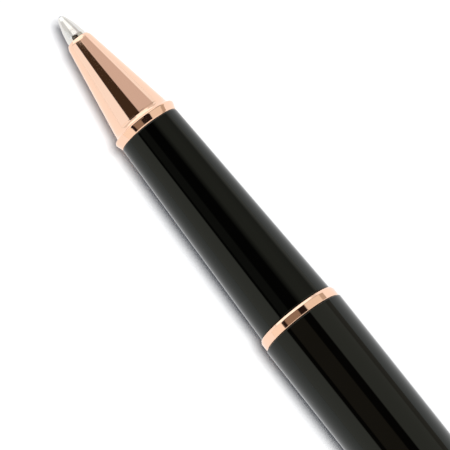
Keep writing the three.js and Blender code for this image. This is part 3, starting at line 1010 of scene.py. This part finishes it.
def clip():
    mesh = bmesh.new()
    rings = []
    for place_in_cap in clip_places():
        bottom, top, half = clip_section(place_in_cap)
        middle, rise = (bottom + top) / 2, (top - bottom) / 2
        if half < 1e-6:
            rings.append([mesh.verts.new(point_in_cap(place_in_cap, 0, middle))])
            continue
        ring = []
        for side in range(CLIP_SIDES):
            angle = 2 * math.pi * side / CLIP_SIDES
            across, up = half * squared(math.cos(angle)), middle + rise * squared(math.sin(angle))
            ring.append(mesh.verts.new(point_in_cap(place_in_cap, across, up)))
        rings.append(ring)
    for ring, following in zip(rings, rings[1:]):
        join_rings(mesh, ring, following, CLIP_SIDES)
    mesh.faces.new(rings[-1])
    add_piece("clip", mesh, MATERIALS["rose_gold"], CLIP_SHARP_ANGLE)


# ---------- Studio ----------

FLOOR_SIZE = 6.0
FLOOR_HEIGHT = AXIS_HEIGHT - BAND_RADIUS * MM

# The camera's direction from the pen, as an azimuth and an elevation in degrees.
VIEW_AZIMUTH = 52.1
VIEW_ELEVATION = 78.5
VIEW_DISTANCE = 0.8
VIEW_WIDTH = 0.0592
VIEW_STATION = 35.69
VIEW_REACH = 20.0
SENSOR = 36.0

KEY_DIRECTION = Vector((0.16, 0.003, 1.0))
KEY_DISTANCE = 3.0
KEY_SIZE = 0.72
KEY_POWER = 89.0
FILL = (0.205, 0.216, 0.24)

# What the polished pieces reflect: a colour against the angle, in degrees, from overhead towards +Y.
BRIGHT = (1.05, 1.01, 0.96)
SOFT = (0.88, 0.84, 0.77)
PATCH = (0.54, 0.48, 0.42)
BROWN = (0.29, 0.225, 0.175)
DEEP = (0.02, 0.012, 0.010)
HALF = (0.53, 0.51, 0.45)
THIRD = (0.36, 0.35, 0.31)
DUSK = (0.14, 0.135, 0.125)
BLACK = (0.0, 0.0, 0.0)
PALE = (1.05, 1.10, 1.16)
TAN = (0.67, 0.61, 0.60)
UMBER = (0.05, 0.034, 0.022)
WHITE = (1.4, 1.4, 1.4)
GREY = (0.82, 0.82, 0.82)
GLARE = (1.40, 1.48, 1.52)

REAR = [(-180, BRIGHT), (180, BRIGHT)]
BEHIND = [
    (-180, BRIGHT), (-52, BRIGHT), (-50, DEEP), (-41, DEEP), (-39, BROWN), (-10, BROWN), (-8, DEEP),
    (27, DEEP), (29, SOFT), (74, SOFT), (76, PATCH), (91, PATCH), (93, BRIGHT), (180, BRIGHT),
]
ACROSS = [
    (-180, BRIGHT), (-52, BRIGHT), (-50, DEEP), (-41, DEEP), (-39, BROWN), (2, BROWN), (4, DEEP),
    (23, DEEP), (25, SOFT), (74, SOFT), (76, PATCH), (91, PATCH), (93, BRIGHT), (180, BRIGHT),
]
SLOPING = [
    (-180, BRIGHT), (-49, BRIGHT), (-47, BLACK), (-42, BLACK), (-40, DUSK), (-18, DUSK), (-14, BLACK),
    (14, BLACK), (31, HALF), (50, HALF), (76, THIRD), (86, BRIGHT), (180, BRIGHT),
]
LEANING = [
    (-180, PALE), (-44, PALE), (-42, UMBER), (4, UMBER), (6, TAN), (73, TAN), (75, PALE), (180, PALE),
]
STEEP = [(-180, GREY), (-19, GREY), (-13, WHITE), (42, WHITE), (48, GREY), (180, GREY)]
FACING = [(-180, GLARE), (180, GLARE)]
# Each pattern takes over from the one before it while the lean towards the writing point grows
# from the first number to the second.
LATER_PATTERNS = [
    (-0.55, -0.48, BEHIND),
    (-0.22, -0.12, ACROSS),
    (0.165, 0.18, SLOPING),
    (0.27, 0.33, LEANING),
    (0.516, 0.524, STEEP),
    (0.765, 0.80, FACING),
]


def floor():
    mesh = bpy.data.meshes.new("floor")
    half = FLOOR_SIZE / 2
    corners = [(-half, -half), (half, -half), (half, half), (-half, half)]
    mesh.from_pydata([(x, y, FLOOR_HEIGHT) for x, y in corners], [], [(0, 1, 2, 3)])
    piece = bpy.data.objects.new("floor", mesh)
    bpy.context.scene.collection.objects.link(piece)
    shade = (0.92, 0.92, 0.92, 1)
    shader = Shader("floor", Roughness=0.8, Base_Color=shade, Specular_IOR_Level=0.0)
    mesh.materials.append(shader.material)


def key_light():
    light = bpy.data.lights.new("key", "AREA")
    light.shape = "DISK"
    light.size = KEY_SIZE
    light.energy = KEY_POWER
    lamp = bpy.data.objects.new("key", light)
    direction = KEY_DIRECTION.normalized()
    lamp.location = Vector(place(VIEW_STATION, 0, 0)) + direction * KEY_DISTANCE
    lamp.rotation_mode = "QUATERNION"
    lamp.rotation_quaternion = direction.to_track_quat("Z", "Y")
    lamp.visible_glossy = False
    lamp.visible_camera = False
    bpy.context.scene.collection.objects.link(lamp)


class World:
    """The studio's surroundings: white for the camera, an even fill, and panels for reflections."""

    def __init__(self):
        world = bpy.data.worlds.new("studio")
        bpy.context.scene.world = world
        world.use_nodes = True
        self.nodes = world.node_tree.nodes
        self.links = world.node_tree.links
        self.background = self.nodes["Background"]
        rays = self.nodes.new("ShaderNodeLightPath")
        seen = self.mix(rays.outputs["Is Glossy Ray"], self.even(*FILL), self.panels())
        seen = self.mix(rays.outputs["Is Camera Ray"], seen, self.even(1, 1, 1))
        self.links.new(seen, self.background.inputs["Color"])

    def even(self, *colour):
        made = self.nodes.new("ShaderNodeRGB")
        made.outputs[0].default_value = (*colour, 1)
        return made.outputs[0]

    def mix(self, share, a, b):
        made = self.nodes.new("ShaderNodeMix")
        made.data_type = "RGBA"
        made.clamp_factor = True
        self.links.new(share, made.inputs["Factor"])
        self.links.new(a, made.inputs[6])
        self.links.new(b, made.inputs[7])
        return made.outputs[2]

    def maths(self, operation, *values):
        made = self.nodes.new("ShaderNodeMath")
        made.operation = operation
        for socket, value in zip(made.inputs, values):
            if isinstance(value, bpy.types.NodeSocket):
                self.links.new(value, socket)
            else:
                socket.default_value = value
        return made.outputs[0]

    def step(self, value, start, end):
        made = self.nodes.new("ShaderNodeMapRange")
        made.interpolation_type = "SMOOTHSTEP"
        self.links.new(value, made.inputs[0])
        made.inputs[1].default_value = start
        made.inputs[2].default_value = end
        return made.outputs[0]

    def ramp(self, angle, stops):
        made = self.nodes.new("ShaderNodeValToRGB")
        elements = made.color_ramp.elements
        for _ in stops[2:]:
            elements.new(0.5)
        for element, (degrees, _) in zip(elements, stops):
            element.position = (degrees + 180) / 360
        for element, (_, colour) in zip(elements, stops):
            element.color = (*colour, 1)
        self.links.new(angle, made.inputs[0])
        return made.outputs[0]

    def panels(self):
        where = self.nodes.new("ShaderNodeTexCoord").outputs["Generated"]
        split = self.nodes.new("ShaderNodeSeparateXYZ")
        self.links.new(where, split.inputs[0])
        x, y, z = split.outputs
        turned = self.maths("ARCTAN2", y, z)
        share = self.maths("MULTIPLY_ADD", turned, 1 / (2 * math.pi), 0.5)
        lean = self.maths("MULTIPLY", x, -1)
        seen = self.ramp(share, REAR)
        for start, end, stops in LATER_PATTERNS:
            seen = self.mix(self.step(lean, start, end), seen, self.ramp(share, stops))
        return seen


def camera():
    data = bpy.data.cameras.new("camera")
    data.sensor_width = SENSOR
    data.lens = SENSOR * VIEW_DISTANCE / VIEW_WIDTH
    eye = bpy.data.objects.new("camera", data)
    bpy.context.scene.collection.objects.link(eye)
    azimuth, elevation = math.radians(VIEW_AZIMUTH), math.radians(VIEW_ELEVATION)
    back = Vector(
        (
            math.sin(azimuth) * math.cos(elevation),
            -math.cos(azimuth) * math.cos(elevation),
            math.sin(elevation),
        )
    )
    eye.location = Vector(place(VIEW_STATION, 0, 0)) + back * VIEW_DISTANCE
    eye.rotation_mode = "QUATERNION"
    eye.rotation_quaternion = (-back).to_track_quat("-Z", "Y")
    data.clip_end = VIEW_REACH
    bpy.context.scene.camera = eye


# ---------- The pen ----------

for build in (
    writing_ball,
    writing_point,
    point_holder,
    ink_feed,
    ink_core,
    refill_tube,
    refill_plug,
    nose_cone,
    section_shell,
    section_sleeve,
    sealing_ring,
    centre_ring,
    barrel_shell,
    barrel_thread_insert,
    tail_ring,
    tail_plug,
    spring_seat,
    refill_spring,
    cap_shell,
    cap_band,
    inner_cap,
    cap_clutch,
    clip_collar,
    clip,
    finial,
    finial_screw,
):
    build()

floor()
key_light()
World()
camera()
bpy.context.scene.view_settings.view_transform = "Standard"
